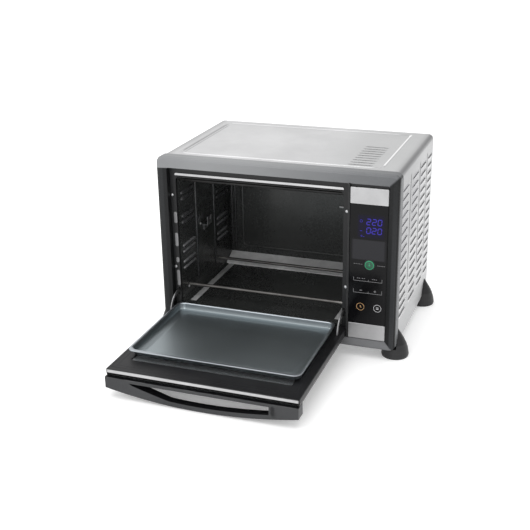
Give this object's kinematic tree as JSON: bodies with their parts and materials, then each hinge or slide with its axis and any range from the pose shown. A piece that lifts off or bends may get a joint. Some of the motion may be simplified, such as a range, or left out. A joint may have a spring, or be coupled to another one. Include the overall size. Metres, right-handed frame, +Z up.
{
  "type": "toaster oven",
  "caption": "Countertop toaster oven with a drop-down glass door, pull-out crumb tray, bow handle, touch panel with a lit push button, steel casing and flared corner feet.",
  "frame": {"origin": "middle of the footprint of the whole object at table level, with the door open", "axes": "+X to the oven's right seen from the front, +Y from the front towards the back, +Z up"},
  "size_m": [0.51, 0.6206, 0.36],
  "materials": {
    "bezel_plastic": "gunmetal grey, satin",
    "jamb_black": "black, fine grain",
    "polished_steel": "polished strip",
    "casing_steel": "silver, satin",
    "zinc_sheet": "plain zinc coated sheet",
    "foot_plastic": "black, satin",
    "liner_enamel": "anthracite coating",
    "element_sheath": "dull heater sheath",
    "bracket_steel": "bare steel",
    "door_black": "black, ribbed",
    "door_glass": "clear, slightly grey",
    "handle_grey": "dark grey, satin",
    "tray_steel": "polished sheet",
    "panel_black": "black, mirror gloss",
    "brushed_plate": "brushed, blank",
    "button_green": "lit green",
    "circuit_board": "green solder mask",
    "component_black": "moulded black",
    "nylon_white": "natural nylon"
  },
  "bodies": {
    "body": {"front_bezel": "bezel_plastic", "divider_bar": "bezel_plastic", "button_ring": "bezel_plastic", "mouth_frame": "jamb_black", "panel_carrier": "jamb_black", "opening_strip": "polished_steel", "outer_casing": "casing_steel", "rear_cover": "zinc_sheet", "base_plate": "zinc_sheet", "spit_motor": "zinc_sheet", "fan_motor": "zinc_sheet", "transformer": "zinc_sheet", "foot_front_left": "foot_plastic", "foot_front_right": "foot_plastic", "foot_rear_left": "foot_plastic", "foot_rear_right": "foot_plastic", "cord_gland": "foot_plastic", "cavity_liner": "liner_enamel", "fan_grille": "liner_enamel", "lower_front_element": "element_sheath", "lower_rear_element": "element_sheath", "upper_front_element": "element_sheath", "upper_rear_element": "element_sheath", "spit_bracket": "bracket_steel", "temperature_probe": "bracket_steel", "hinge_pin_left": "bracket_steel", "hinge_pin_right": "bracket_steel", "panel_glass": "panel_black", "panel_top_plate": "brushed_plate", "panel_bottom_plate": "brushed_plate", "control_board": "circuit_board", "power_board": "circuit_board", "display_module": "component_black", "power_relay": "component_black", "terminal_block": "nylon_white"},
    "door": {"door_frame": "door_black", "door_outer_glass": "door_glass", "door_inner_glass": "door_glass", "door_top_trim": "polished_steel", "door_handle": "handle_grey", "door_stay_left": "bracket_steel", "door_stay_right": "bracket_steel"},
    "tray": {"crumb_tray": "tray_steel"},
    "button": {"start_button": "button_green"},
    "spit_coupling": {"spit_drive": "bracket_steel"},
    "fan": {"fan_blade": "bracket_steel"}
  },
  "joints": [
    {"name": "door_hinge", "type": "hinge", "parent": "body", "child": "door", "pos_m": [0, -0.01775, 0.0483], "axis": [-1, 0, 0], "range_deg": [0, 90]},
    {"name": "crumb_tray_slide", "type": "slide", "parent": "door", "child": "tray", "axis": [0, -1, 0], "range_m": [-0.248, 0]},
    {"name": "start_button_push", "type": "slide", "parent": "body", "child": "button", "axis": [0, 1, 0], "range_m": [0, 0.0008], "stiffness_N_per_m": 600},
    {"name": "spit_drive_turn", "type": "hinge", "parent": "body", "child": "spit_coupling", "pos_m": [0.1285, 0.12375, 0.1915], "axis": [1, 0, 0], "continuous": true},
    {"name": "fan_turn", "type": "hinge", "parent": "body", "child": "fan", "pos_m": [0.1285, 0.19375, 0.212], "axis": [1, 0, 0], "continuous": true}
  ]
}
